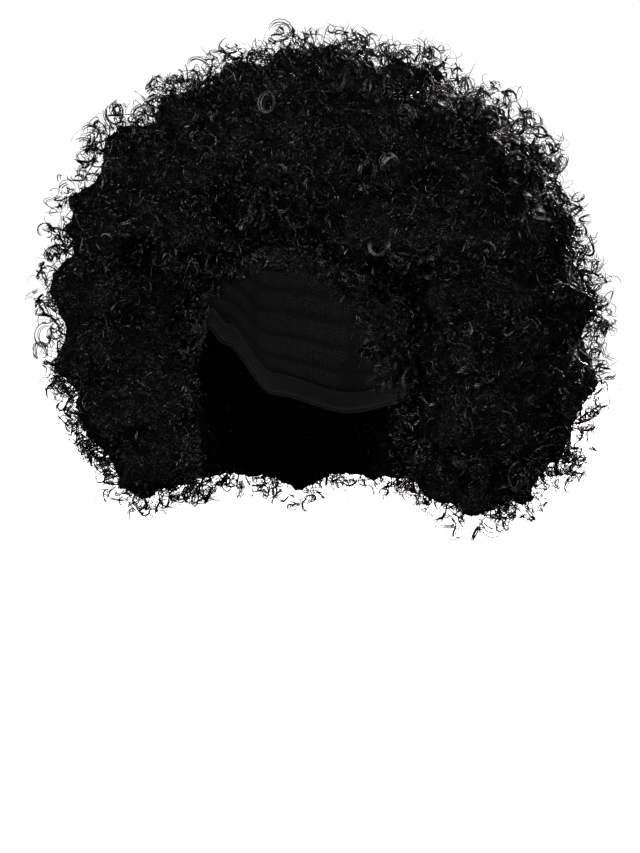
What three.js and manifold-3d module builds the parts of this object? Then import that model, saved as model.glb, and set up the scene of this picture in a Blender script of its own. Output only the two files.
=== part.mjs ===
// Curly afro wig: a close stretch cap, an elastic band inside its rim, and rows of wefts sewn round the
// cap. The curled locks of the rows make one near-round mass of hair, with an arch left open for the face.
// Millimetres, +Z up. The wearer faces -Y, and the origin is the inside of the cap's crown, where it sits.
import * as THREE from "three";
import { mergeVertices } from "three/addons/utils/BufferGeometryUtils.js";
import Module from "manifold-3d";

const wasm = await Module();
wasm.setup();

// The head that the cap is made for. Heights here are from the head's widest level.
const HEAD_BREADTH = 156;
const HEAD_LENGTH = 196;
const CROWN_HEIGHT = 82; // up to the inside of the crown
const NAPE_TAPER = 115; // down to where the back of the skull would close
const NECK_BACK = 72; // from the middle of the head back to the hair behind the neck

// Cap and band
const CAP_WALL = 1.5;
const BAND_WALL = 1.2;
const BAND_HEIGHT = 13;
const BAND_INSET = 1.5; // from the cap's edge up to the band's
const SEWN_GAP = 0.3; // between pieces that are sewn together

// Hair, from the middle of the head to the valleys between the locks
const HAIR_SIDE = 171;
const HAIR_FRONT = 156;
const HAIR_BACK = 169;
const HAIR_TOP = 167;
const HAIR_UNDER = 192; // down to where the round shape would close
const HAIR_DROP = 122; // down to where its ends are cut level
const HEM_ROUNDING = 12; // a higher power gives a sharper lower edge

// The arch left open for the face, measured in an upright plane through the temples
const TEMPLE_DEPTH = 60; // from the middle of the head forward to that plane
const FACE_HALF_WIDTH = 64;
const FACE_SPRING_DROP = 25; // from the head's widest level down to where the arch starts to close
const FACE_RISE = 49; // from there up to the hairline
const FACE_POINT = 1.8; // 2 is a round arch, and less is more pointed
const FACE_ROLL = 52; // width of the rounded roll of hair that frames the face

// One lock: a drop-shaped curl that leans over at its tip
const LOCK_RADIUS = 26;
const LOCK_HEIGHT = 14; // above the valleys
const LOCK_ROOT = 13; // sunk into the hair below
const LOCK_SINK = 5; // of the widest ring of corners, below the valleys
const LOCK_LEAN = 9; // how far the tip is pushed sideways
const SHOULDER_RADIUS = 0.62; // of the ring of corners under the tip, as a share of the lock's radius
const SHOULDER_HEIGHT = 0.76; // of that ring, as a share of the lock's height
const LOCK_SPACING = 48; // from one lock to the next along a ring of locks
const LEAST_LOCK = 0.8; // size of the smallest lock, as a share of the full size
const LOCK_SCATTER = 0.3; // how far a lock strays from its place in the ring, as a share of the spacing
const LEAST_HAIR = 26; // no lock grows where the hair is thinner than this

// The cap's edge: turn is degrees round from the face, and drop is degrees down from the crown
const CAP_EDGE = [
  { turn: 0, drop: 64 },
  { turn: 32, drop: 69 },
  { turn: 52, drop: 85 },
  { turn: 68, drop: 108 }, // tab in front of the ear
  { turn: 78, drop: 107 },
  { turn: 95, drop: 100 }, // arch over the ear
  { turn: 116, drop: 108 },
  { turn: 145, drop: 127 },
  { turn: 180, drop: 133 }, // nape
];

// Rows of wefts, from the crown down to the hem. Angles are in degrees of drop from the crown.
const ROW_COUNT = 5;
const ROW_ANGLE = 31; // from one seam to the next
const RINGS = [0.27, 0.73]; // where a row's rings of locks lie, as shares of the way between its seams
const SEAM_WAVE = 3; // that a seam wanders up and down
const SEAM_SHIFT = 130; // of turn, from the waves of one seam to those of the next
const SEAM_TRIM = 0.12; // taken off each side of a seam, which leaves its gap

// Facets all the way round
const BODY_FACETS = 26;
const LOCK_FACETS = 5;

const OUTSIDE = 1.4 * Math.max(HAIR_SIDE, HAIR_FRONT, HAIR_BACK, HAIR_TOP); // past every lock
const UNDERSIDE = HAIR_DROP + 2 * LOCK_RADIUS; // past the cut ends

const hairColour = new THREE.MeshStandardMaterial({ color: 0x121011, roughness: 0.5, metalness: 0 });
const capColour = new THREE.MeshStandardMaterial({ color: 0x18171a, roughness: 0.9, metalness: 0 });
const bandColour = new THREE.MeshStandardMaterial({ color: 0x1e1d20, roughness: 0.8, metalness: 0 });

const radians = THREE.MathUtils.degToRad;

// The unit vector that leans drop degrees from straight up, turn degrees round from the face.
function heading(drop, turn) {
  const level = Math.sin(radians(drop));
  return new THREE.Vector3(
    level * Math.sin(radians(turn)),
    -level * Math.cos(radians(turn)),
    Math.cos(radians(drop)),
  );
}

// A number from 0 to 1 that looks random and is the same each time.
function chance(seed) {
  const wide = Math.sin(seed * 12.9898 + 4.1) * 43758.5453;
  return wide - Math.floor(wide);
}

// A closed geometry as a solid that can be joined and cut. Flat triangles at its poles are left out.
function solidOf(geometry) {
  const bare = geometry.clone();
  bare.deleteAttribute("normal");
  bare.deleteAttribute("uv");
  const merged = mergeVertices(bare, 1e-3);
  const corners = [];
  for (let i = 0; i < merged.index.count; i += 3) {
    const [a, b, c] = merged.index.array.slice(i, i + 3);
    if (a !== b && b !== c && c !== a) corners.push(a, b, c);
  }
  return new wasm.Manifold(
    new wasm.Mesh({
      numProp: 3,
      vertProperties: merged.attributes.position.array,
      triVerts: new Uint32Array(corners),
    }),
  );
}

// A solid as a named mesh. Crumbs that a cut leaves beside the piece are dropped.
function pieceOf(name, solid, material) {
  const [largest] = solid.decompose().sort((a, b) => b.volume() - a.volume());
  const mesh = largest.getMesh();
  const geometry = new THREE.BufferGeometry();
  geometry.setAttribute("position", new THREE.BufferAttribute(new Float32Array(mesh.vertProperties), 3));
  geometry.setIndex(new THREE.BufferAttribute(new Uint32Array(mesh.triVerts), 1));
  geometry.computeVertexNormals();
  const piece = new THREE.Mesh(geometry, material);
  piece.name = name;
  return piece;
}

// A round solid about the middle of the head, whose radius is worked out for each direction.
function roundSolid(radiusOf) {
  const ball = new THREE.SphereGeometry(1, BODY_FACETS, BODY_FACETS / 2).rotateX(Math.PI / 2);
  const place = ball.attributes.position;
  const direction = new THREE.Vector3();
  for (let i = 0; i < place.count; i += 1) {
    direction.fromBufferAttribute(place, i).normalize();
    const { x, y, z } = direction.clone().multiplyScalar(radiusOf(direction));
    place.setXYZ(i, x, y, z);
  }
  return solidOf(ball);
}

// The space above a cone round the vertical axis. The cone's drop is worked out for each turn.
function spaceAbove(dropAt) {
  const shares = [1, 0.75, 0.5, 0.25, 0]; // of the drop, for points from the cone's rim up to the axis
  const outline = [0, ...shares].map((share) => new THREE.Vector2(share, 0));
  const space = new THREE.LatheGeometry(outline, BODY_FACETS);
  const place = space.attributes.position;
  for (let i = 0; i < place.count; i += 1) {
    const turn = (Math.floor(i / outline.length) % BODY_FACETS) * (360 / BODY_FACETS);
    const ring = i % outline.length;
    const reach = ring === 0 ? 0 : OUTSIDE;
    const drop = ring === 0 ? 0 : dropAt(turn) * shares[ring - 1];
    const { x, y, z } = heading(drop, turn).multiplyScalar(reach);
    place.setXYZ(i, x, y, z);
  }
  return solidOf(space);
}

// Radius of the head, which is the inside of the cap. Below the widest level only the back rounds in.
function headRadius({ x, y, z }) {
  const side = x / (HEAD_BREADTH / 2);
  const front = y / (HEAD_LENGTH / 2);
  const behind = y > 0 ? y / Math.hypot(x, y) : 0;
  const rise = z > 0 ? z / CROWN_HEIGHT : (behind * z) / NAPE_TAPER;
  return Math.min(1 / Math.hypot(side, front, rise), UNDERSIDE / Math.abs(z));
}

// Radius of the space that the hair leaves free for the head, neck and jaw.
function freeRadius(direction) {
  const { x, y, z } = direction;
  const back = y > 0 ? NECK_BACK : HEAD_LENGTH / 2;
  const neck = 1 / Math.hypot(x / (HEAD_BREADTH / 2), y / back);
  const below = z < 0 ? Math.min(neck, UNDERSIDE / -z) : 0;
  return Math.max(headRadius(direction), below);
}

// How far a direction passes outside the arch for the face, in widths of the roll: 0 is the arch itself.
function faceClearance({ x, y, z }) {
  if (y >= 0) return 1;
  const scale = TEMPLE_DEPTH / -y;
  const side = (Math.abs(x) * scale) / FACE_HALF_WIDTH;
  const rise = Math.max(z * scale + FACE_SPRING_DROP, 0) / FACE_RISE;
  const size = (side ** FACE_POINT + rise ** FACE_POINT) ** (1 / FACE_POINT);
  return ((size - 1) * FACE_HALF_WIDTH) / FACE_ROLL;
}

// Radius of the hair in the valleys between the locks: round, cut level below, rolled in at the face.
function hairRadius(direction) {
  const { x, y, z } = direction;
  const depth = y < 0 ? HAIR_FRONT : HAIR_BACK;
  const height = z < 0 ? HAIR_UNDER : HAIR_TOP;
  const round = 1 / Math.hypot(x / HAIR_SIDE, y / depth, z / height);
  const level = z < 0 ? HAIR_DROP / -z : Infinity;
  const full = (round ** -HEM_ROUNDING + level ** -HEM_ROUNDING) ** (-1 / HEM_ROUNDING);
  const clear = Math.min(faceClearance(direction), 1);
  const inner = Math.min(freeRadius(direction), full);
  if (clear <= 0) return inner * Math.exp(clear);
  return inner + (full - inner) * Math.sqrt(1 - (1 - clear) ** 2);
}

// The direction at right angles to the hair's surface.
function hairNormal(drop, turn) {
  const step = 2;
  const at = (d, t) => {
    const direction = heading(d, t);
    return direction.clone().multiplyScalar(hairRadius(direction));
  };
  const down = at(drop + step, turn).sub(at(drop - step, turn));
  const round = at(drop, turn + step).sub(at(drop, turn - step));
  return down.cross(round).normalize();
}

// A lock of a share of the full size, rooted in the hair's surface. Its tip leans the way of its twist.
function lock(drop, turn, size, twist) {
  const profile = [
    [0, -LOCK_ROOT],
    [LOCK_RADIUS, -LOCK_SINK],
    [LOCK_RADIUS * SHOULDER_RADIUS, LOCK_HEIGHT * SHOULDER_HEIGHT],
    [0, LOCK_HEIGHT],
  ].map(([radius, height]) => new THREE.Vector2(radius * size, height * size));
  const shape = new THREE.LatheGeometry(profile, LOCK_FACETS).rotateX(Math.PI / 2);
  const place = shape.attributes.position;
  for (let i = 0; i < place.count; i += 1) {
    const raised = Math.max(place.getZ(i) / (LOCK_HEIGHT * size), 0);
    place.setX(i, place.getX(i) + LOCK_LEAN * size * raised ** 2);
  }
  shape.rotateZ(radians(twist));
  const stand = new THREE.Quaternion().setFromUnitVectors(new THREE.Vector3(0, 0, 1), hairNormal(drop, turn));
  const direction = heading(drop, turn);
  const root = direction.clone().multiplyScalar(hairRadius(direction));
  return solidOf(shape.applyQuaternion(stand).translate(root.x, root.y, root.z));
}

// The drop of the seam above a row at a turn.
function seamAbove(row, turn) {
  const wave = Math.sin(radians((row + 2) * turn + row * SEAM_SHIFT));
  return row * ROW_ANGLE + Math.min(row, 1) * SEAM_WAVE * wave;
}

// One ring of locks that follows its row's seams, where the hair is thick enough.
function lockRing(row, share) {
  const middle = radians((row + share) * ROW_ANGLE);
  const count = Math.round((2 * Math.PI * HAIR_SIDE * Math.sin(middle)) / LOCK_SPACING);
  const locks = [];
  for (let i = 0; i < count; i += 1) {
    const seed = 97 * (row + share) + i;
    const turn = ((i + share + LOCK_SCATTER * (chance(seed) - 0.5)) * 360) / count;
    const drop = THREE.MathUtils.lerp(seamAbove(row, turn), seamAbove(row + 1, turn), share);
    const size = THREE.MathUtils.lerp(LEAST_LOCK, 1, chance(seed + 0.5));
    const direction = heading(drop, turn);
    const thickness = hairRadius(direction) - freeRadius(direction);
    if (thickness > LEAST_HAIR) locks.push(lock(drop, turn, size, 360 * chance(seed + 0.8)));
  }
  return locks;
}

// The drop of the cap's edge at a turn, smoothed between the rows of its table.
function capEdge(turn) {
  const from = turn > 180 ? 360 - turn : turn;
  const next = Math.max(CAP_EDGE.findIndex((row) => row.turn >= from), 1);
  const [a, b] = [CAP_EDGE[next - 1], CAP_EDGE[next]];
  const share = THREE.MathUtils.smoothstep(from, a.turn, b.turn);
  return THREE.MathUtils.lerp(a.drop, b.drop, share);
}

// Degrees of drop that a length takes up on the head's surface, beside the cap's edge.
function edgeAngle(length, turn) {
  return THREE.MathUtils.radToDeg(length / headRadius(heading(capEdge(turn), turn)));
}

// A solid of the head's shape, larger all round by a length.
function headSolid(margin) {
  return roundSolid((direction) => headRadius(direction) + margin);
}

function capPiece() {
  const wall = headSolid(CAP_WALL).subtract(headSolid(0));
  return pieceOf("cap_shell", wall.intersect(spaceAbove(capEdge)), capColour);
}

function bandPiece() {
  const wall = headSolid(-SEWN_GAP).subtract(headSolid(-SEWN_GAP - BAND_WALL));
  const lower = (turn) => capEdge(turn) - edgeAngle(BAND_INSET, turn);
  const upper = (turn) => lower(turn) - edgeAngle(BAND_HEIGHT, turn);
  const ring = wall.intersect(spaceAbove(lower)).subtract(spaceAbove(upper));
  return pieceOf("elastic_band", ring, bandColour);
}

// The whole head of hair with its locks, hollow for the cap, the face and the neck.
function hairSolid() {
  let hair = roundSolid(hairRadius);
  for (let row = 0; row < ROW_COUNT; row += 1) {
    for (const grown of RINGS.flatMap((share) => lockRing(row, share))) hair = hair.add(grown);
  }
  return hair.subtract(roundSolid((direction) => freeRadius(direction) + CAP_WALL + SEWN_GAP));
}

// The hair parted along its seams, from the hem up to the crown.
function weftPieces() {
  const pieces = [];
  let hair = hairSolid();
  for (let row = ROW_COUNT - 1; row > 0; row -= 1) {
    const below = hair.subtract(spaceAbove((turn) => seamAbove(row, turn) + SEAM_TRIM));
    pieces.push(pieceOf(`weft_row_${row}`, below, hairColour));
    hair = hair.intersect(spaceAbove((turn) => seamAbove(row, turn) - SEAM_TRIM));
  }
  pieces.push(pieceOf("crown_weft", hair, hairColour));
  return pieces;
}

const wig = new THREE.Group();
wig.add(capPiece(), bandPiece(), ...weftPieces());
wig.position.z = -CROWN_HEIGHT;

export default wig;
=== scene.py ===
import math

import bpy
import numpy as np
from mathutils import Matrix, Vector
from mathutils.bvhtree import BVHTree


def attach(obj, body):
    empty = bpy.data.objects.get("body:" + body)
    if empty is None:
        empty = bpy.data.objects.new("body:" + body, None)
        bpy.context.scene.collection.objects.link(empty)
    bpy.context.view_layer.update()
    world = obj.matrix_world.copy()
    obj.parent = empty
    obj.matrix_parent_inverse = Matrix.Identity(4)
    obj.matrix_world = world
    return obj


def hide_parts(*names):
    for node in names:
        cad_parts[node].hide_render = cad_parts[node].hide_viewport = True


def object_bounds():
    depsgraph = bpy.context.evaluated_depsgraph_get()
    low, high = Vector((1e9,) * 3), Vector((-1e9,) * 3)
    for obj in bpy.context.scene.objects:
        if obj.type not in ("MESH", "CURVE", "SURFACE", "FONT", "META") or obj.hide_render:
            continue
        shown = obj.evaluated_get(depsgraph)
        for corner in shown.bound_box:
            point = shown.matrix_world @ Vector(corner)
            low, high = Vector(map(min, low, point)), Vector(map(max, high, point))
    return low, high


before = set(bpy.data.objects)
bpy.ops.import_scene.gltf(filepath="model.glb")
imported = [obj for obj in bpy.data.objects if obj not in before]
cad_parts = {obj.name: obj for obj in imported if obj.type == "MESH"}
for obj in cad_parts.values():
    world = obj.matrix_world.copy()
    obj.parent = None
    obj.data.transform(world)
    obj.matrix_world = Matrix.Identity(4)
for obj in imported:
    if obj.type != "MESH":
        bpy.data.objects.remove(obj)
CAD_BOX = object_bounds()

MM = 0.001
SEED = 20

# The picture
SENSOR = 36
VIEW_TURN, VIEW_RISE, VIEW_ROLL = 13, 6, 1.4
VIEW_DISTANCE = 1800 * MM
VIEW_HEIGHT = 554 * MM
VIEW_AIM = Vector((0, 0, -156)) * MM
LIGHT_COLOUR = (1, 0.94, 0.96)

# The head that the wig is made for, from the middle of its widest level
HEAD_MIDDLE = np.array([0, 0, -82]) * MM
HEAD_HALF_BREADTH, HEAD_HALF_LENGTH, CROWN_HEIGHT, NAPE_TAPER = 78 * MM, 98 * MM, 82 * MM, 115 * MM
NECK_BACK = 72 * MM

# Cap and band
CAP_WALL, BAND_WALL, BAND_HEIGHT, BAND_INSET, SEWN_GAP = 1.5 * MM, 1.2 * MM, 13 * MM, 1.5 * MM, 0.3 * MM
CAP_EDGE_TURNS = [0, 32, 52, 68, 78, 95, 116, 145, 180]
CAP_EDGE_DROPS = [64, 69, 85, 108, 107, 100, 108, 127, 133]

# The arch left open for the face, in an upright plane through the temples
TEMPLE_DEPTH, FACE_HALF_WIDTH, FACE_SPRING_DROP, FACE_RISE = 60 * MM, 64 * MM, 25 * MM, 49 * MM
FACE_POINT = 1.8

# Hair
HAIR_NODES = ["crown_weft", "weft_row_1", "weft_row_2", "weft_row_3", "weft_row_4"]
ROW_ANGLE = 31
SURFACE_VOXEL = 3.9 * MM
TUFT_SPACING, TUFT_HEIGHT = 20 * MM, 5 * MM
SURFACE_SMOOTHING, CORE_SMOOTHING = 4, 30
CORE_DEPTH, CORE_SWELL = 7.5 * MM, 0.6
FLYAWAY_REACH = 9 * MM
STRAND_TRIANGLES, ROW_TRIANGLES_MOST = 728_000, 198_000
HAIR_LEAST, OUTER_LEAST = 5 * MM, 14 * MM
HEM_WEIGHT = 2.6
ROOT_SPREAD, ANCHOR_DEPTH, HEAD_GAP = 1.6 * MM, 1.5 * MM, 1.9 * MM
TINT_POWER = 3

# Kinds of curl. Sizes in mm from least to most; share is of the triangles; out is from the tufted surface.
CURL_KINDS = [
    {
        "share": 0.42, "segments": 5, "strands": 2, "radius": (2.6, 6), "turns": (0.3, 0.7), "facing": 0.35,
        "pitch": (3, 8), "thick": (0.26, 0.52), "out": (-7, 6.5), "wander": 1.5,
    },
    {
        "share": 0.21, "segments": 11, "strands": 4, "radius": (3.5, 7), "turns": (0.7, 1.3), "facing": 0.35,
        "pitch": (3, 6), "thick": (0.22, 0.42), "out": (-3, 8), "wander": 2.5,
    },
    {
        "share": 0.31, "segments": 8, "strands": 1, "radius": (3, 7.5), "turns": (0.45, 1), "facing": 0.3,
        "pitch": (3, 10), "thick": (0.14, 0.3), "out": (-2, 9.5), "wander": 3,
    },
    {
        "share": 0.06, "segments": 13, "strands": 5, "radius": (5, 8), "turns": (0.65, 1.1), "facing": 1,
        "pitch": (2, 5), "thick": (0.2, 0.36), "out": (1, 6), "wander": 1.6,
    },
]

# How much the strands of one curl differ from each other, as shares of its own sizes
STRAND_SPREADS = {"radius": 0.16, "turns": 0.12, "pitch": 0.15, "drift": 0.35, "flat": 0.08, "shrink": 0.15}

# Where the hair stands further out or less far, in degrees from the head's middle, and by how many mm
SWELLS = [
    {"drop": 114, "turn": 103, "width": 17, "height": 12},
    {"drop": 99, "turn": 103, "width": 7, "height": 6},
    {"drop": 45, "turn": 103, "width": 8, "height": 7},
    {"drop": 72, "turn": 103, "width": 8, "height": -8},
    {"drop": 62, "turn": -77, "width": 12, "height": 10},
    {"drop": 90, "turn": -77, "width": 8, "height": 6},
    {"drop": 117, "turn": -77, "width": 7, "height": -7},
]

# Rings of hair that stand out among the rest: degrees, mm, and the side that their openings face
RINGLETS = [
    {"drop": 70, "turn": 28, "radius": 8.5, "out": 5, "strands": 14},
    {"drop": 76, "turn": 38, "radius": 8, "out": 5, "strands": 13},
    {"drop": 74, "turn": 15, "radius": 8.5, "out": 4, "strands": 9},
    {"drop": 77, "turn": 25, "radius": 6, "out": 4, "strands": 8},
    {"drop": 107, "turn": 33, "radius": 7.5, "out": 4, "strands": 12},
    {"drop": 123, "turn": 69, "radius": 8.5, "out": 6, "strands": 9},
    {"drop": 41, "turn": -6, "radius": 7, "out": 5, "strands": 6},
    {"drop": 58, "turn": 8, "radius": 5.5, "out": 4, "strands": 6},
    {"drop": 89, "turn": 45, "radius": 6.5, "out": 4, "strands": 7},
    {"drop": 43, "turn": -84, "radius": 8, "out": 12, "strands": 2},
    {"drop": 58, "turn": -81, "radius": 9, "out": 8, "strands": 4},
    {"drop": 15, "turn": -100, "radius": 9, "out": 7, "strands": 4},
    {"drop": 9, "turn": 148, "radius": 9, "out": 8, "strands": 4},
    {"drop": 46, "turn": 109, "radius": 7, "out": 9, "strands": 5},
    {"drop": 56, "turn": 107, "radius": 8, "out": 8, "strands": 4},
    {"drop": 65, "turn": 106, "radius": 8, "out": 7, "strands": 4},
    {"drop": 97, "turn": -76, "radius": 7.5, "out": 7, "strands": 4},
]
RINGLET_FACING = {"drop": 84, "turn": 13}

# The fringe, by places round the face: -1 is the right jamb's foot, 0 the top, and 1 the left jamb's foot.
# length is how far it hangs over the edge of the arch, in mm.
FRINGE = [
    {"place": -1, "length": 15},
    {"place": -0.88, "length": 5},
    {"place": -0.7, "length": 3},
    {"place": -0.5, "length": 7},
    {"place": -0.3, "length": 4},
    {"place": 0, "length": 5},
    {"place": 0.14, "length": 15},
    {"place": 0.3, "length": 25},
    {"place": 0.46, "length": 29},
    {"place": 0.58, "length": 18},
    {"place": 0.64, "length": 6},
    {"place": 0.73, "length": 12},
    {"place": 0.82, "length": 5},
    {"place": 1, "length": 3},
]
ARCH_SHARE = 0.6
JAMB_HEIGHT = 76 * MM
FRINGE_MARGIN = 9 * MM
FRINGE_ROOTS, FRINGE_TRIANGLES, WISP_COUNT = 3000, 62_000, 230

# Flat curls on the inner walls of the hair, below the cap
HOLLOW_CURL_COUNT, CAP_EDGE_MARGIN = 450, 3

# Softboxes and the floor, in metres and watts
LIGHTS = [
    {"name": "front_left", "place": (-1.1, -1.5, 0.7), "power": 41},
    {"name": "front_right", "place": (1.5, -1.1, 0.4), "power": 23},
    {"name": "back", "place": (0.2, 1.9, 0.5), "power": 48},
]
LIGHT_SIZE, WORLD_STRENGTH = 0.6, 1.08
FLOOR_SIZE, FLOOR_GAP = 60, 80 * MM


def normalised(vectors):
    return vectors / np.maximum(np.linalg.norm(vectors, axis=-1, keepdims=True), 1e-12)


def dot(a, b):
    return (a * b).sum(axis=-1, keepdims=True)


def heading(drop, turn):
    """Directions from degrees down from the crown and degrees round from the face."""
    drop, turn = np.broadcast_arrays(np.radians(drop), np.radians(turn))
    return np.stack([np.sin(drop) * np.sin(turn), -np.sin(drop) * np.cos(turn), np.cos(drop)], axis=-1)


def column(table, name):
    return np.array([row[name] for row in table], float)


def head_radius(directions):
    x, y, z = np.moveaxis(directions, -1, 0)
    behind = np.where(y > 0, y / np.maximum(np.hypot(x, y), 1e-9), 0)
    rise = np.where(z > 0, z / CROWN_HEIGHT, behind * z / NAPE_TAPER)
    return 1 / np.sqrt((x / HEAD_HALF_BREADTH) ** 2 + (y / HEAD_HALF_LENGTH) ** 2 + rise**2)


def free_radius(directions):
    """Radius of the space for head and neck."""
    x, y, z = np.moveaxis(directions, -1, 0)
    neck_depth = np.where(y > 0, NECK_BACK, HEAD_HALF_LENGTH)
    neck = 1 / np.maximum(np.hypot(x / HEAD_HALF_BREADTH, y / neck_depth), 1e-6)
    return np.where(z < 0, np.maximum(head_radius(directions), neck), head_radius(directions))


# Materials


def new_material(name):
    material = bpy.data.materials.new(name)
    material.use_nodes = True
    tree = material.node_tree
    return material, tree, tree.nodes["Principled BSDF"]


def ramp_between(tree, source, stops):
    """A colour ramp with (place, colour) stops that follows a socket."""
    ramp = tree.nodes.new("ShaderNodeValToRGB")
    elements = ramp.color_ramp.elements
    for element, (place, colour) in zip([elements[0], elements[1]], [stops[0], stops[-1]]):
        element.position, element.color = place, (*colour, 1)
    for place, colour in stops[1:-1]:
        elements.new(place).color = (*colour, 1)
    tree.links.new(source, ramp.inputs["Fac"])
    return ramp.outputs["Color"]


def math_node(tree, operation, *inputs):
    node = tree.nodes.new("ShaderNodeMath")
    node.operation = operation
    for socket, value in zip(node.inputs, inputs):
        if isinstance(value, (int, float)):
            socket.default_value = value
        else:
            tree.links.new(value, socket)
    return node.outputs["Value"]


def bump_from(tree, shader, height, distance):
    bump = tree.nodes.new("ShaderNodeBump")
    bump.inputs["Distance"].default_value = distance
    tree.links.new(height, bump.inputs["Height"])
    tree.links.new(bump.outputs["Normal"], shader.inputs["Normal"])


def hair_material():
    material, tree, shader = new_material("curled_fibre")
    tint = tree.nodes.new("ShaderNodeAttribute")
    tint.attribute_name = "tint"
    stops = [(0, (0.0002, 0.0002, 0.0002)), (0.7, (0.0009, 0.0008, 0.0008)), (1, (0.007, 0.0042, 0.0036))]
    tree.links.new(ramp_between(tree, tint.outputs["Fac"], stops), shader.inputs["Base Color"])
    rough = math_node(tree, "MULTIPLY_ADD", tint.outputs["Fac"], 0.14, 0.23)
    tree.links.new(rough, shader.inputs["Roughness"])
    shader.inputs["Specular IOR Level"].default_value = 0.5
    return material


def ring_heights(tree, place, scale, rings):
    """Rings about scattered points, like the ends of small curls."""
    cells = tree.nodes.new("ShaderNodeTexVoronoi")
    cells.inputs["Scale"].default_value = scale
    tree.links.new(place, cells.inputs["Vector"])
    return math_node(tree, "SINE", math_node(tree, "MULTIPLY", cells.outputs["Distance"], rings))


def core_material():
    material, tree, shader = new_material("matted_fibre")
    place = tree.nodes.new("ShaderNodeTexCoord")
    warp = tree.nodes.new("ShaderNodeTexNoise")
    warp.inputs["Scale"].default_value = 130
    warp.inputs["Detail"].default_value = 2
    mix = tree.nodes.new("ShaderNodeVectorMath")
    mix.operation = "MULTIPLY_ADD"
    mix.inputs[1].default_value = (0.009, 0.009, 0.009)
    tree.links.new(place.outputs["Object"], warp.inputs["Vector"])
    tree.links.new(warp.outputs["Color"], mix.inputs[0])
    tree.links.new(place.outputs["Object"], mix.inputs[2])
    large = ring_heights(tree, mix.outputs["Vector"], 95, 34)
    small = ring_heights(tree, mix.outputs["Vector"], 190, 24)
    height = math_node(tree, "MAXIMUM", large, small)
    # The base colour follows the ring heights as the bump does: darker in the grooves between rings and
    # lighter on their crests, a painted shade in the grooves and a painted highlight on the crests.
    stops = [(0, (0.0002, 0.0002, 0.0002)), (1, (0.0012, 0.001, 0.0011))]
    tree.links.new(ramp_between(tree, height, stops), shader.inputs["Base Color"])
    bump_from(tree, shader, height, 0.7 * MM)
    shader.inputs["Roughness"].default_value = 0.4
    shader.inputs["Specular IOR Level"].default_value = 0.15
    return material


def net_material():
    """Fine knitted net, in rows that follow the cap's own map."""
    material, tree, shader = new_material("stretch_net")
    place = tree.nodes.new("ShaderNodeUVMap")
    place.uv_map = "weave"
    split = tree.nodes.new("ShaderNodeSeparateXYZ")
    tree.links.new(place.outputs["UV"], split.inputs["Vector"])
    across = math_node(tree, "SINE", math_node(tree, "MULTIPLY", split.outputs["X"], 2 * math.pi))
    along = math_node(tree, "SINE", math_node(tree, "MULTIPLY", split.outputs["Y"], 2 * math.pi))
    height = math_node(tree, "MAXIMUM", across, along)
    sewn = tree.nodes.new("ShaderNodeAttribute")
    sewn.attribute_name = "sewn"
    unsewn = math_node(tree, "MULTIPLY_ADD", sewn.outputs["Fac"], -0.9, 1.0)
    height = math_node(tree, "MULTIPLY", height, unsewn)
    stops = [(0, (0.008, 0.0075, 0.0085)), (0.6, (0.016, 0.015, 0.017)), (1, (0.034, 0.0325, 0.036))]
    tree.links.new(ramp_between(tree, height, stops), shader.inputs["Base Color"])
    bump_from(tree, shader, height, 0.35 * MM)
    shader.inputs["Roughness"].default_value = 0.75
    shader.inputs["Specular IOR Level"].default_value = 0.15
    return material


def elastic_material():
    """Ribbed elastic, with fine cross threads between its ribs."""
    material, tree, shader = new_material("woven_elastic")
    place = tree.nodes.new("ShaderNodeUVMap")
    place.uv_map = "weave"
    split = tree.nodes.new("ShaderNodeSeparateXYZ")
    tree.links.new(place.outputs["UV"], split.inputs["Vector"])
    height = math_node(tree, "SINE", math_node(tree, "MULTIPLY", split.outputs["X"], 2 * math.pi))
    stops = [(0, (0.014, 0.0135, 0.015)), (1, (0.05, 0.048, 0.053))]
    tree.links.new(ramp_between(tree, height, stops), shader.inputs["Base Color"])
    bump_from(tree, shader, height, 0.25 * MM)
    shader.inputs["Roughness"].default_value = 0.6
    shader.inputs["Specular IOR Level"].default_value = 0.25
    return material


def thread_material():
    material, tree, shader = new_material("sewing_thread")
    place = tree.nodes.new("ShaderNodeTexCoord")
    noise = tree.nodes.new("ShaderNodeTexNoise")
    noise.inputs["Scale"].default_value = 900
    tree.links.new(place.outputs["Object"], noise.inputs["Vector"])
    stops = [(0.3, (0.006, 0.006, 0.007)), (0.7, (0.022, 0.021, 0.024))]
    tree.links.new(ramp_between(tree, noise.outputs["Fac"], stops), shader.inputs["Base Color"])
    shader.inputs["Roughness"].default_value = 0.5
    return material


def floor_material():
    material, tree, shader = new_material("pale_floor")
    shader.inputs["Base Color"].default_value = (0.98, 0.98, 0.98, 1)
    shader.inputs["Roughness"].default_value = 0.7
    shader.inputs["Specular IOR Level"].default_value = 0
    return material


# Pieces


def add_object(name, mesh, material):
    piece = bpy.data.objects.new(name, mesh)
    bpy.context.scene.collection.objects.link(piece)
    mesh.materials.append(material)
    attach(piece, "root")
    return piece


def mesh_of(name, places, quads, triangles, maps):
    """A smooth mesh. maps gives each map's name and a place for each corner, quads first."""
    corners = np.concatenate([quads.ravel(), triangles.ravel()])
    starts = np.concatenate([4 * np.arange(len(quads)), 4 * len(quads) + 3 * np.arange(len(triangles))])
    mesh = bpy.data.meshes.new(name)
    mesh.vertices.add(len(places))
    mesh.vertices.foreach_set("co", places.astype(np.float32).ravel())
    mesh.loops.add(len(corners))
    mesh.loops.foreach_set("vertex_index", corners.astype(np.int32))
    mesh.polygons.add(len(starts))
    mesh.polygons.foreach_set("loop_start", starts.astype(np.int32))
    mesh.polygons.foreach_set("use_smooth", np.ones(len(starts), bool))
    mesh.update(calc_edges=True)
    for map_name, spots in maps.items():
        mesh.uv_layers.new(name=map_name).data.foreach_set("uv", spots.astype(np.float32).ravel())
    return mesh


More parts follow.
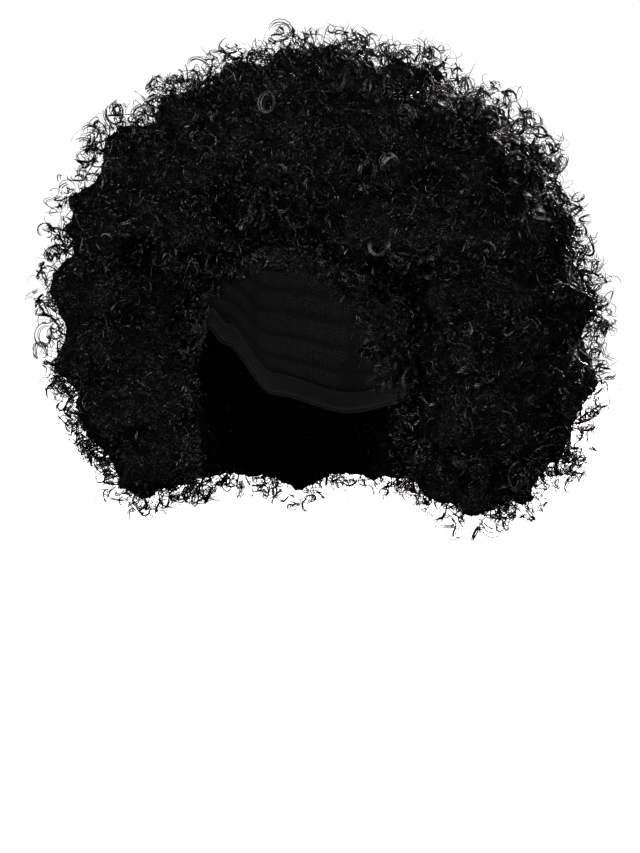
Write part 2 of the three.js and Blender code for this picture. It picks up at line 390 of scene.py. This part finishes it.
def tube_mesh(name, rings, maps):
    """Quads between the points of neighbouring closed rings, which form a closed loop themselves."""
    count, points = rings.shape[:2]
    ring = np.arange(count)[:, None, None]
    point = np.arange(points)[None, :, None]
    corner_ring = (ring + np.array([0, 1, 1, 0])) % count
    corner_point = (point + np.array([0, 0, 1, 1])) % points
    quads = (corner_ring * points + corner_point).reshape(-1, 4)
    u = (ring + np.array([0, 1, 1, 0]) + 0 * point).reshape(-1, 4)
    v = (point + np.array([0, 0, 1, 1]) + 0 * ring).reshape(-1, 4)
    spots = {map_name: np.stack([u * scale[0], v * scale[1]], axis=-1) for map_name, scale in maps.items()}
    return mesh_of(name, rings.reshape(-1, 3), quads, np.empty((0, 3), int), spots)


# Cap and band


def cap_edge(turn):
    """The drop of the cap's edge at a turn, smoothed between the rows of its table."""
    turn = np.abs((np.asarray(turn, float) + 180) % 360 - 180)
    row = np.clip(np.searchsorted(CAP_EDGE_TURNS, turn, side="right") - 1, 0, len(CAP_EDGE_TURNS) - 2)
    turns, drops = np.array(CAP_EDGE_TURNS), np.array(CAP_EDGE_DROPS)
    share = (turn - turns[row]) / (turns[row + 1] - turns[row])
    share = share * share * (3 - 2 * share)
    return drops[row] + share * (drops[row + 1] - drops[row])


def ridge(distance, width):
    """1 on a line and 0 away from it."""
    return np.clip(1 - (distance / width) ** 2, 0, 1)


def cap_rings(columns, rows):
    """Rings of points from the crown to the rim inside and back outside, then two poles.
    With them comes how raised each point is, from 0 to 1."""
    weft_step, weft_width = 11 * MM, 1.6 * MM
    tape_count, tape_width, tape_share = 8, 5 * MM, 0.55
    rim_width, rim_reach = 4 * MM, 150 * MM
    wall_least, usual_radius = 0.7 * MM, 85 * MM
    turn = 360 * np.arange(columns) / columns
    share = np.linspace(0.008, 1, rows)[:, None]
    drop = share * cap_edge(turn)
    directions = heading(drop, turn)
    radius = head_radius(directions)
    down = share * (cap_edge(turn) * np.pi / 180 * usual_radius).mean()
    weft = ridge((down + weft_step / 2) % weft_step - weft_step / 2, weft_width)
    half_step = 180 / tape_count
    sideways = np.radians((turn + half_step) % (2 * half_step) - half_step) * np.sin(np.radians(drop))
    tape = ridge(np.abs(sideways) * usual_radius, tape_width) > 0.1
    rim = ridge((1 - share) * rim_reach, rim_width)
    relief = np.maximum(np.maximum(weft, tape_share * tape), rim) * (CAP_WALL - wall_least)
    inner = (radius + CAP_WALL - wall_least - relief)[..., None] * directions + HEAD_MIDDLE
    outer = (radius + CAP_WALL)[..., None] * directions + HEAD_MIDDLE
    pole_heights = [CROWN_HEIGHT + CAP_WALL - wall_least, CROWN_HEIGHT + CAP_WALL]
    poles = HEAD_MIDDLE + np.array([[0, 0, height] for height in pole_heights])
    places = np.concatenate([np.concatenate([inner, outer[::-1]]).reshape(-1, 3), poles])
    raised = np.zeros(len(places))
    raised[: relief.size] = (relief / relief.max()).ravel()
    return places, raised


def cap_faces(columns, rows):
    """Quads between neighbouring rings, and triangles round the two poles, which are the last two points."""
    line = np.arange(2 * rows - 1)[:, None, None]
    around = np.arange(columns)[None, :, None]
    corner_column = (around + np.array([0, 1, 1, 0])) % columns
    quads = ((line + np.array([0, 0, 1, 1])) * columns + corner_column).reshape(-1, 4)
    first = np.arange(columns)
    second = (first + 1) % columns
    inner_pole, outer_pole = 2 * rows * columns, 2 * rows * columns + 1
    last = (2 * rows - 1) * columns
    inner_fan = np.stack([second, first, np.full(columns, inner_pole)], axis=-1)
    outer_fan = np.stack([last + first, last + second, np.full(columns, outer_pole)], axis=-1)
    return quads, np.concatenate([inner_fan, outer_fan])


def cap_maps(columns, rows):
    """Two discs side by side for the inside and outside of the cap, and the rows of its knitted net."""
    disc_wide, disc_high, pole_reach, wall_reach, rim_reach = 0.245, 0.49, 0.02, 0.94, 0.99
    knit_columns, knit_rows = 360, 150
    line = np.arange(2 * rows - 1)[:, None, None]
    around = np.arange(columns)[None, :, None]
    corner_line, corner_turn = line + np.array([0, 0, 1, 1]), around + np.array([0, 1, 1, 0])
    quad_line, quad_turn = np.broadcast_arrays(corner_line, corner_turn)
    reach = np.linspace(pole_reach, wall_reach, rows)
    reach = np.concatenate([reach, np.linspace(wall_reach, pole_reach, rows)])
    side = np.repeat([0.25, 0.75], rows)
    on_rim = (line == rows - 1) & np.ones_like(quad_turn, bool)
    quad_reach = np.where(on_rim & (quad_line == rows), rim_reach, reach[quad_line])
    quad_side = np.where(on_rim, 0.25, side[quad_line])
    angle = 2 * math.pi * quad_turn / columns
    disc_u = quad_side + disc_wide * quad_reach * np.cos(angle)
    disc_v = 0.5 + disc_high * quad_reach * np.sin(angle)
    spots = [np.stack([disc_u, disc_v], axis=-1).reshape(-1, 2)]
    for middle_of_disc, order in ((0.25, (1, 0)), (0.75, (0, 1))):
        corners = []
        for step in order:
            angle = 2 * math.pi * (np.arange(columns) + step) / columns
            u = middle_of_disc + disc_wide * pole_reach * np.cos(angle)
            v = 0.5 + disc_high * pole_reach * np.sin(angle)
            corners.append(np.stack([u, v], axis=-1))
        corners.append(np.tile([middle_of_disc, 0.5], (columns, 1)))
        spots.append(np.stack(corners, axis=1).reshape(-1, 2))
    knit = np.stack([quad_turn / columns * knit_columns, quad_line / rows * knit_rows], axis=-1)
    knit = np.concatenate([knit.reshape(-1, 2), np.zeros((6 * columns, 2))])
    return {"OFBake": np.concatenate(spots), "weave": knit}


def add_cap():
    """The cap as one closed wall: thin net with sewn wefts and upright tapes standing out on its inside."""
    columns, rows = 104, 84
    places, raised = cap_rings(columns, rows)
    mesh = mesh_of("cap_net", places, *cap_faces(columns, rows), cap_maps(columns, rows))
    mesh.attributes.new("sewn", "FLOAT", "POINT").data.foreach_set("value", raised.astype(np.float32))
    cap = add_object("cap_net", mesh, net_material())
    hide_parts("cap_shell")


def band_point(turn, up, depth):
    """A point beside the cap's inside: up from the cap's edge, and depth in from the head's surface."""
    edge = cap_edge(turn)
    radius = head_radius(heading(edge, turn))
    directions = heading(edge - np.degrees(up / radius), turn)
    return (head_radius(directions) - depth)[..., None] * directions + HEAD_MIDDLE


def add_band():
    """A flat elastic with ribs along it, and a zigzag seam that holds it to the cap."""
    columns, rib_count, steps = 200, 7, 5
    turn = (360 * np.arange(columns) / columns)[:, None]
    across = np.linspace(0, 1, rib_count * steps + 1)
    ribs = np.abs(np.sin(np.pi * rib_count * across)) ** 0.7
    up = BAND_INSET + BAND_HEIGHT * np.concatenate([across, across[::-1][[0, -1]]])
    inner = SEWN_GAP + BAND_WALL - 0.45 * MM * (1 - ribs)
    depth = np.concatenate([inner, [SEWN_GAP + 0.05 * MM] * 2])
    rings = band_point(turn, up, depth)
    scales = {"OFBake": (1 / columns, 1 / len(up)), "weave": (560 / 0.9 / columns, 1)}
    mesh = tube_mesh("band_elastic", rings, scales)
    band = add_object("band_elastic", mesh, elastic_material())
    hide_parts("elastic_band")

    stitches, sides = 220, 4
    share = np.arange(2 * stitches) / (2 * stitches)
    height = BAND_INSET + BAND_HEIGHT * (0.5 + 0.16 * np.array([-1, 1] * stitches))
    centre = band_point(360 * share, height, SEWN_GAP + BAND_WALL - 0.05 * MM)
    along = normalised(np.roll(centre, -1, axis=0) - np.roll(centre, 1, axis=0))
    inward = normalised(HEAD_MIDDLE - centre)
    second = normalised(np.cross(along, inward))
    angle = 2 * math.pi * (np.arange(sides) + 0.5) / sides
    rings = centre[:, None] + 0.22 * MM * (
        np.cos(angle)[:, None] * inward[:, None] + np.sin(angle)[:, None] * second[:, None]
    )
    mesh = tube_mesh("band_stitches", rings, {"OFBake": (1 / len(centre), 1 / sides)})
    add_object("band_stitches", mesh, thread_material())


# Hair


def joined_nodes(names):
    """One mesh with the vertices and triangles of several nodes."""
    places, faces, first = [], [], 0
    for name in names:
        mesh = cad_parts[name].data
        mesh.calc_loop_triangles()
        own = np.empty(3 * len(mesh.vertices))
        mesh.vertices.foreach_get("co", own)
        corners = np.empty(3 * len(mesh.loop_triangles), int)
        mesh.loop_triangles.foreach_get("vertices", corners)
        places.append(own.reshape(-1, 3))
        faces.append(corners.reshape(-1, 3) + first)
        first += len(mesh.vertices)
    joined = bpy.data.meshes.new("joined")
    joined.from_pydata(np.concatenate(places).tolist(), [], np.concatenate(faces).tolist())
    return joined


def remeshed(mesh, voxel, smoothing):
    """An even copy of a mesh, with its sharp corners rounded."""
    helper = bpy.data.objects.new("helper", mesh)
    bpy.context.scene.collection.objects.link(helper)
    remesh = helper.modifiers.new("remesh", "REMESH")
    remesh.mode = "VOXEL"
    remesh.voxel_size = voxel
    smooth = helper.modifiers.new("smooth", "SMOOTH")
    smooth.iterations = smoothing
    even = bpy.data.meshes.new_from_object(helper.evaluated_get(bpy.context.evaluated_depsgraph_get()))
    bpy.data.objects.remove(helper)
    return even


def mesh_arrays(mesh):
    places = np.empty(3 * len(mesh.vertices))
    mesh.vertices.foreach_get("co", places)
    normals = np.empty(3 * len(mesh.vertices))
    mesh.vertex_normals.foreach_get("vector", normals)
    return places.reshape(-1, 3), normals.reshape(-1, 3)


def lumps(places, wavelength, seed):
    """A smooth pattern of lumps between about -1 and 1."""
    rng = np.random.default_rng(seed)
    waves = normalised(rng.normal(size=(12, 3))) * (2 * math.pi / wavelength)
    waves *= rng.uniform(0.7, 1.4, (12, 1))
    phases = rng.uniform(0, 2 * math.pi, 12)
    return np.sin(places @ waves.T + phases).sum(axis=1) / 4


def scattered(places, spacing, rng):
    """Indices of places that keep at least a spacing between them."""
    kept = []
    chosen = np.empty((0, 3))
    for index in rng.permutation(len(places)):
        if len(kept) == 0 or ((chosen[: len(kept)] - places[index]) ** 2).sum(axis=1).min() > spacing**2:
            if len(kept) == len(chosen):
                chosen = np.concatenate([chosen, np.empty((500, 3))])
            chosen[len(kept)] = places[index]
            kept.append(index)
    return np.array(kept)


def nearest(places, centres):
    """The nearest centre to each place, and its distance."""
    index = np.empty(len(places), int)
    for start in range(0, len(places), 4000):
        part = places[start : start + 4000]
        index[start : start + 4000] = ((part[:, None] - centres) ** 2).sum(axis=-1).argmin(axis=1)
    return index, np.linalg.norm(places - centres[index], axis=1)


def strand_batch(paths, sides, radii, tint):
    """Three-sided closed strands. paths is strands by points by 3, and sides is an axis for each strand."""
    count, points = paths.shape[:2]
    along = normalised(np.gradient(paths, axis=1))
    across = normalised(sides[:, None] - dot(sides[:, None], along) * along)
    out = np.cross(along, across)
    angles = 2 * math.pi * np.arange(3) / 3
    ring = across[:, :, None] * np.cos(angles)[:, None] + out[:, :, None] * np.sin(angles)[:, None]
    places = paths[:, :, None] + radii[:, :, None, None] * ring

    first = 3 * points * np.arange(count)
    step = np.arange(points - 1)[:, None, None]
    side = np.arange(3)[None, :, None]
    own = 3 * (step + np.array([0, 0, 1, 1])) + (side + np.array([0, 1, 1, 0])) % 3
    quads = (first[:, None] + own.ravel()).reshape(-1, 4)
    ends = np.array([[2, 1, 0], 3 * (points - 1) + np.array([0, 1, 2])])
    triangles = (first[:, None] + ends.ravel()).reshape(-1, 3)

    u = 0.04 + 0.9 * (side + np.array([0, 1, 1, 0])) / 3 + 0 * step
    v = 0.04 + 0.8 * (step + np.array([0, 0, 1, 1])) / (points - 1) + 0 * side
    quad_spots = np.stack([u, v], axis=-1).reshape(1, -1, 2)
    one_end = np.array([[0.05, 0.87], [0.4, 0.87], [0.22, 0.97]])
    end_spots = np.concatenate([one_end, one_end + np.array([0.45, 0])])[None]
    return {
        "count": count,
        "places": places.reshape(-1, 3),
        "quads": quads,
        "triangles": triangles,
        "quad_spots": quad_spots,
        "end_spots": end_spots,
        "tint": np.repeat(tint, 3 * points),
    }


def strand_mesh(name, batches):
    """One mesh of several batches, each strand with its own cell of a square grid as its map."""
    total = sum(batch["count"] for batch in batches)
    cells = math.ceil(math.sqrt(total))
    first_vertex, first_strand = 0, 0
    quads, triangles, quad_map, end_map = [], [], [], []
    for batch in batches:
        number = first_strand + np.arange(batch["count"])
        cell = np.stack([number % cells, number // cells], axis=-1)[:, None]
        quads.append(batch["quads"] + first_vertex)
        triangles.append(batch["triangles"] + first_vertex)
        quad_map.append(((cell + batch["quad_spots"]) / cells).reshape(-1, 2))
        end_map.append(((cell + batch["end_spots"]) / cells).reshape(-1, 2))
        first_vertex += len(batch["places"])
        first_strand += batch["count"]
    places = np.concatenate([batch["places"] for batch in batches])
    spots = np.concatenate(quad_map + end_map)
    mesh = mesh_of(name, places, np.concatenate(quads), np.concatenate(triangles), {"OFBake": spots})
    tints = mesh.attributes.new("tint", "FLOAT", "POINT")
    tints.data.foreach_set("value", np.concatenate([batch["tint"] for batch in batches]).astype(np.float32))
    return mesh


def curl_paths(rng, centres, axes, size, segments, strands, start=0.5):
    """Curls of a few strands each: their paths and axes. size has an array for each of a curl's sizes."""
    count = len(centres)
    first = normalised(np.cross(axes, rng.normal(size=(count, 3))))
    phase = rng.uniform(0, 2 * math.pi, count)
    drift = rng.normal(size=(count, 3)) * size["wander"][:, None]
    sway = rng.normal(size=(count, 3)) * 0.5 * size["wander"][:, None]
    flat, shrink = rng.uniform(0.5, 1, count), rng.uniform(0.05, 0.65, count)

    def each(values, spread=0.0):
        many = np.repeat(values, strands, axis=0)
        return many * (1 + spread * rng.uniform(-1, 1, (len(many),) + (1,) * (many.ndim - 1)))

    centres, axes, first = each(centres), each(axes), each(first)
    radius, turns, pitch = [
        each(size[name], STRAND_SPREADS[name]) for name in ("radius", "turns", "pitch")
    ]
    centres = centres + rng.normal(scale=0.5 * MM, size=centres.shape)
    phase = each(phase) + rng.uniform(-0.2, 0.2, count * strands)
    drift, sway = each(drift, STRAND_SPREADS["drift"]), each(sway, STRAND_SPREADS["drift"])
    flat, shrink = each(flat, STRAND_SPREADS["flat"]), each(shrink, STRAND_SPREADS["shrink"])
    second = np.cross(axes, first)
    share = np.linspace(0, 1, segments + 1)
    angle = phase[:, None] + 2 * math.pi * turns[:, None] * share
    reach = radius[:, None] * (1 - shrink[:, None] * share)
    rise = (share - start) * (turns * pitch)[:, None]
    paths = centres[:, None] + rise[..., None] * axes[:, None]
    paths = paths + (reach * np.cos(angle))[..., None] * first[:, None]
    paths = paths + (flat[:, None] * reach * np.sin(angle))[..., None] * second[:, None]
    paths = paths + sway[:, None] * np.sin(1.5 * math.pi * share)[:, None]
    return paths + drift[:, None] * (share**2)[:, None], axes


def tapered(radius, points):
    """Radii along strands that thin out towards both ends."""
    share = np.linspace(0, 1, points)
    ends = np.clip(np.minimum(share, 1 - share) * 5, 0, 1)
    return radius[:, None] * (0.35 + 0.65 * ends)


def allowed(paths):
    """Strands that stay near the solids' box and out of the space for the head."""
    low, high = np.array(CAD_BOX[0]) - FLYAWAY_REACH, np.array(CAD_BOX[1]) + FLYAWAY_REACH
    boxed = ((paths > low) & (paths < high)).all(axis=(1, 2))
    offset = paths - HEAD_MIDDLE
    reach = np.linalg.norm(offset, axis=-1)
    clear = reach > free_radius(offset / reach[..., None]) + HEAD_GAP
    return boxed & clear.all(axis=1)


def anchored(paths, roots, normals):
    """Moves each strand inwards until some part of it is under the surface of its tuft."""
    lowest = dot(paths - roots[:, None], normals[:, None])[..., 0].min(axis=1)
    return paths - (np.maximum(lowest + ANCHOR_DEPTH, 0)[:, None] * normals)[:, None]


def kept_batch(paths, sides, thick, tint):
    """A batch of those strands that are allowed, from their paths, axes, greatest radii and tints."""
    kept = allowed(paths)
    radii = tapered(thick, paths.shape[1])
    return strand_batch(paths[kept], sides[kept], radii[kept], tint[kept])


def sizes_between(rng, kind, count):
    """Random sizes for curls of a kind, in metres apart from their turns."""
    names = ("radius", "turns", "pitch", "thick", "out")
    size = {name: rng.uniform(*kind[name], count) * (1 if name == "turns" else MM) for name in names}
    size["wander"] = np.full(count, kind["wander"] * MM)
    return size


def curl_axes(rng, normals, coherent, facing):
    """Axes of curls: some point outwards and show as rings, and more lie down as their tuft does."""
    count = len(normals)
    tangent = normalised(coherent + rng.normal(scale=0.6, size=(count, 3)))
    tangent = normalised(tangent - dot(tangent, normals) * normals)
    tilt = np.where(rng.random(count) < facing, rng.uniform(0, 45, count), rng.uniform(55, 105, count))
    tilt = np.radians(tilt)[:, None]
    return np.cos(tilt) * normals + np.sin(tilt) * tangent


def curl_batches(roots, normals, coherent, weight, triangles, rng):
    """Curls of each kind on roots that are picked at random by weight."""
    batches = []
    for kind in CURL_KINDS:
        segments, strands = kind["segments"], kind["strands"]
        most = int(triangles * kind["share"]) // (strands * (6 * segments + 2))
        picked = rng.choice(len(roots), most, p=weight / weight.sum())
        places, ways = roots[picked], normals[picked]
        size = sizes_between(rng, kind, most)
        centres = places + rng.normal(scale=ROOT_SPREAD, size=(most, 3)) + size["out"][:, None] * ways
        axes = curl_axes(rng, ways, coherent[picked], kind["facing"])
        paths, sides = curl_paths(rng, centres, axes, size, segments, strands)
        thick = np.repeat(size["thick"], strands) * rng.uniform(0.8, 1.2, most * strands)
        tint = np.repeat(rng.random(most) ** TINT_POWER, strands)
        paths = anchored(paths, np.repeat(places, strands, axis=0), np.repeat(ways, strands, axis=0))
        batches.append(kept_batch(paths, sides, thick, tint))
    return batches


def arch_edge(place):
    """Points on the arch's edge in the upright plane through the temples, and the ways in from there."""
    angle = np.clip(place / ARCH_SHARE, -1, 1) * math.pi / 2
    side = np.sign(angle) * np.abs(np.sin(angle)) ** (2 / FACE_POINT)
    rise = np.maximum(np.cos(angle), 0) ** (2 / FACE_POINT)
    foot = np.maximum(np.abs(place) - ARCH_SHARE, 0) / (1 - ARCH_SHARE) * JAMB_HEIGHT
    edge = np.stack([side * FACE_HALF_WIDTH, rise * FACE_RISE - FACE_SPRING_DROP - foot], axis=-1)
    return edge, normalised(np.stack([-side, -rise], axis=-1))


def fringe_roots(rng, count):
    """Random places over forehead and cheeks for the fringe's curls, nearer to the head towards its tips.
    With them come their directions from the head's middle, the ways they hang, and how far down each is."""
    uneven_share, uneven_length, slant, usual_reach = 0.3, 0.16, 0.35, 105 * MM
    place = rng.uniform(-1, 1, 6 * count)
    length = np.interp(place, column(FRINGE, "place"), column(FRINGE, "length")) * MM
    along = np.stack([place, 0 * place, 0 * place], axis=-1)
    length *= 1 + uneven_share * lumps(along, uneven_length, SEED)
    weight = length + FRINGE_MARGIN
    picked = rng.choice(len(place), count, p=weight / weight.sum())
    place, length = place[picked], length[picked]
    share = rng.random(count)
    edge, inward = arch_edge(place)
    hang = normalised(inward + np.array([0, -slant]))
    spread = np.hypot(np.linalg.norm(edge, axis=1), TEMPLE_DEPTH) / usual_reach
    spot = edge + ((share * (length + FRINGE_MARGIN) - FRINGE_MARGIN) * spread)[:, None] * hang
    on_plane = np.stack([spot[:, 0], np.full(count, -TEMPLE_DEPTH), spot[:, 1]], axis=-1)
    ways = normalised(on_plane)
    lift = (5 + (1 - share) * rng.uniform(1, 15, count) + rng.uniform(0, 3, count)) * MM
    roots = HEAD_MIDDLE + (free_radius(ways) + lift)[:, None] * ways
    hanging = normalised(np.stack([hang[:, 0], 0 * share, hang[:, 1]], axis=-1))
    return roots, ways, hanging, share


def add_fringe(material, rng):
    """Curls that hang over the edge of the face's arch, most at the wearer's left temple, with fine wisps."""
    roots, ways, hanging, share = fringe_roots(rng, FRINGE_ROOTS)
    coherent = np.cross(hanging, ways) + rng.normal(scale=0.5, size=roots.shape)
    batches = curl_batches(roots, ways, coherent, np.ones(len(roots)), FRINGE_TRIANGLES, rng)

    segments, strands = 14, 2
    picked = rng.choice(len(roots), WISP_COUNT, p=share / share.sum())
    size = {
        "radius": rng.uniform(2.5, 5.5, WISP_COUNT) * MM,
        "turns": rng.uniform(0.8, 1.8, WISP_COUNT),
        "pitch": rng.uniform(4, 8, WISP_COUNT) * MM,
        "wander": np.full(WISP_COUNT, 2.5 * MM),
    }
    axes = normalised(hanging[picked] + 0.15 * ways[picked] + rng.normal(scale=0.3, size=(WISP_COUNT, 3)))
    paths, sides = curl_paths(rng, roots[picked], axes, size, segments, strands, start=0.15)
    thick = rng.uniform(0.13, 0.24, WISP_COUNT * strands) * MM
    tint = rng.random(WISP_COUNT * strands) ** TINT_POWER
    batches.append(kept_batch(paths, sides, thick, tint))
    add_object("face_fringe", strand_mesh("face_fringe", batches), material)


def add_ringlets(roots, normals, material, rng):
    """Rings of many strands that stand out of the hair in chosen places."""
    segments = 18
    facing = heading(RINGLET_FACING["drop"], RINGLET_FACING["turn"])
    batches = []
    for row in RINGLETS:
        way = heading(row["drop"], row["turn"])
        root = (normalised(roots - HEAD_MIDDLE) @ way).argmax()
        axis = normalised(facing + 0.5 * normals[root] + rng.normal(scale=0.2, size=3))
        size = {
            "radius": np.array([row["radius"] * MM]),
            "turns": np.array([rng.uniform(0.8, 1.2)]),
            "pitch": np.array([3 * MM]),
            "wander": np.array([1 * MM]),
        }
        centre = roots[root] + row["out"] * MM * normals[root]
        paths, sides = curl_paths(rng, centre[None], axis[None], size, segments, row["strands"])
        paths = anchored(paths, roots[root][None], normals[root][None])
        thick = rng.uniform(0.2, 0.38, row["strands"]) * MM
        batches.append(kept_batch(paths, sides, thick, 0.5 * rng.random(row["strands"])))
    add_object("ringlets", strand_mesh("ringlets", batches), material)


def add_hollow_curls(roots, normals, material, rng):
    """Flat curls on the inner walls of the hair, below the cap."""
    count, segments, strands = HOLLOW_CURL_COUNT, 7, 2
    picked = rng.choice(len(roots), count, replace=count > len(roots))
    size = {
        "radius": rng.uniform(2.5, 5, count) * MM,
        "turns": rng.uniform(0.4, 0.9, count),
        "pitch": rng.uniform(0.5, 2, count) * MM,
        "wander": np.full(count, 1 * MM),
    }
    axes = normalised(normals[picked] + rng.normal(scale=0.25, size=(count, 3)))
    centres = roots[picked] - rng.uniform(1.5, 4.5, (count, 1)) * MM * normals[picked]
    paths, sides = curl_paths(rng, centres, axes, size, segments, strands)
    thick = rng.uniform(0.2, 0.4, count * strands) * MM
    tint = rng.random(count * strands) ** TINT_POWER
    batch = kept_batch(paths, sides, thick, tint)
    add_object("hollow_curls", strand_mesh("hollow_curls", [batch]), material)


def thickness_under(mesh, places, normals):
    """The distance through the mass below each vertex, up to a most."""
    most = 50 * MM
    tree = BVHTree.FromPolygons([v.co for v in mesh.vertices], [p.vertices for p in mesh.polygons])
    starts = places - 0.2 * MM * normals
    hits = [tree.ray_cast(Vector(start), Vector(-way), most)[3] for start, way in zip(starts, normals)]
    return np.array([most if hit is None else hit for hit in hits])


def add_core(calm, heights, material):
    """The dark inner mass, which fills the hair under its curls and is smoother than they are."""
    places, normals = mesh_arrays(calm)
    lump_height, lump_length, tuft_share, thickness_share = 1.3 * MM, 7 * MM, 0.6, 0.35
    depth = CORE_DEPTH + lump_height * lumps(places, lump_length, SEED) - tuft_share * heights
    depth = np.minimum(depth, thickness_share * thickness_under(calm, places, normals))
    calm.vertices.foreach_set("co", (places - depth[:, None] * normals).ravel())
    calm.polygons.foreach_set("use_smooth", np.ones(len(calm.polygons), bool))
    calm.update()
    calm.name = "hair_core"
    core = add_object("hair_core", calm, material)
    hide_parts(*HAIR_NODES)


def swelled(mesh, share):
    """Moves the outer surface out or in where the hair is fuller or flatter, by a share of the SWELLS."""
    fixed_space, full_space = 15 * MM, 55 * MM
    places, normals = mesh_arrays(mesh)
    offset = places - HEAD_MIDDLE
    ways = normalised(offset)
    space = np.linalg.norm(offset, axis=1) - free_radius(ways)
    height = np.zeros(len(places))
    for row in SWELLS:
        apart = np.degrees(np.arccos(np.clip(ways @ heading(row["drop"], row["turn"]), -1, 1)))
        height += share * row["height"] * MM * np.exp(-((apart / row["width"]) ** 2))
    height *= np.clip((space - fixed_space) / (full_space - fixed_space), 0, 1)
    mesh.vertices.foreach_set("co", (places + height[:, None] * ways).ravel())
    mesh.update()


def add_hair():
    rng = np.random.default_rng(SEED)
    even = remeshed(joined_nodes(HAIR_NODES), SURFACE_VOXEL, SURFACE_SMOOTHING)
    calm = remeshed(joined_nodes(HAIR_NODES), SURFACE_VOXEL, CORE_SMOOTHING)
    swelled(even, 1)
    swelled(calm, CORE_SWELL)
    places, normals = mesh_arrays(even)
    offset = places - HEAD_MIDDLE
    space = np.linalg.norm(offset, axis=1) - free_radius(normalised(offset))
    shown = space > HAIR_LEAST
    outer = space > OUTER_LEAST

    centres = places[scattered(places, TUFT_SPACING, rng)]
    tuft, distance = nearest(places, centres)
    swell = 1 - 2 * np.clip(distance / TUFT_SPACING, 0, 1) ** 2
    heights = TUFT_HEIGHT * swell * np.clip((space - 8 * MM) / (12 * MM), 0, 1)
    away = (places - centres[tuft]) / TUFT_SPACING
    leaning = normalised(normals + 0.8 * away * outer[:, None])
    coherent = rng.normal(size=(len(centres), 3))[tuft]
    roots = places + heights[:, None] * normals
    weight = (0.45 + np.maximum(swell, 0)) * np.where(normals[:, 2] < -0.5, HEM_WEIGHT, 1)

    drop = np.degrees(np.arccos(normalised(offset)[:, 2]))
    row = np.minimum(drop // ROW_ANGLE, len(HAIR_NODES) - 1).astype(int)
    material = hair_material()
    for number, node in enumerate(HAIR_NODES):
        own = shown & (row == number)
        triangles = min(STRAND_TRIANGLES * own.sum() / shown.sum(), ROW_TRIANGLES_MOST)
        batches = curl_batches(roots[own], leaning[own], coherent[own], weight[own], triangles, rng)
        mesh = strand_mesh(f"{node}_curls", batches)
        piece = add_object(f"{node}_curls", mesh, material)
        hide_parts(node)
    add_fringe(material, rng)
    add_ringlets(roots[outer], normals[outer], material, rng)
    turn = np.degrees(np.arctan2(offset[:, 0], -offset[:, 1]))
    inside = (space < OUTER_LEAST) & (drop > cap_edge(turn) + CAP_EDGE_MARGIN)
    add_hollow_curls(places[inside], normals[inside], material, rng)
    add_core(calm, heights, core_material())


# Stage


def add_floor():
    bpy.ops.mesh.primitive_plane_add(size=FLOOR_SIZE, location=(0, 0, CAD_BOX[0].z - FLOOR_GAP))
    floor = bpy.context.object
    floor.name = "floor"
    floor.data.materials.append(floor_material())
    floor.visible_glossy = False


def add_camera():
    turn, rise = math.radians(VIEW_TURN), math.radians(VIEW_RISE)
    back = Vector((math.sin(turn) * math.cos(rise), -math.cos(turn) * math.cos(rise), math.sin(rise)))
    camera = bpy.data.objects.new("camera", bpy.data.cameras.new("camera"))
    camera.data.sensor_width = SENSOR
    camera.data.lens = SENSOR * VIEW_DISTANCE / VIEW_HEIGHT
    camera.location = VIEW_AIM + back * VIEW_DISTANCE
    camera.rotation_euler = back.to_track_quat("Z", "Y").to_euler()
    camera.rotation_euler.rotate_axis("Z", math.radians(VIEW_ROLL))
    bpy.context.scene.collection.objects.link(camera)
    bpy.context.scene.camera = camera


def add_light(name, place, power):
    """A square softbox that faces the middle of the head."""
    light = bpy.data.lights.new(name, "AREA")
    light.size = LIGHT_SIZE
    light.energy = power
    light.color = LIGHT_COLOUR
    lamp = bpy.data.objects.new(name, light)
    lamp.location = place
    lamp.rotation_euler = (Vector(place) - Vector(HEAD_MIDDLE)).to_track_quat("Z", "Y").to_euler()
    bpy.context.scene.collection.objects.link(lamp)


def add_lights():
    for row in LIGHTS:
        add_light(row["name"], row["place"], row["power"])
    world = bpy.data.worlds.new("studio")
    bpy.context.scene.world = world
    world.use_nodes = True
    world.node_tree.nodes["Background"].inputs["Color"].default_value = (1, 1, 1, 1)
    world.node_tree.nodes["Background"].inputs["Strength"].default_value = WORLD_STRENGTH
    world.cycles_visibility.glossy = False
    bpy.context.scene.view_settings.view_transform = "Standard"


add_camera()
add_lights()
add_floor()
add_cap()
add_band()
add_hair()
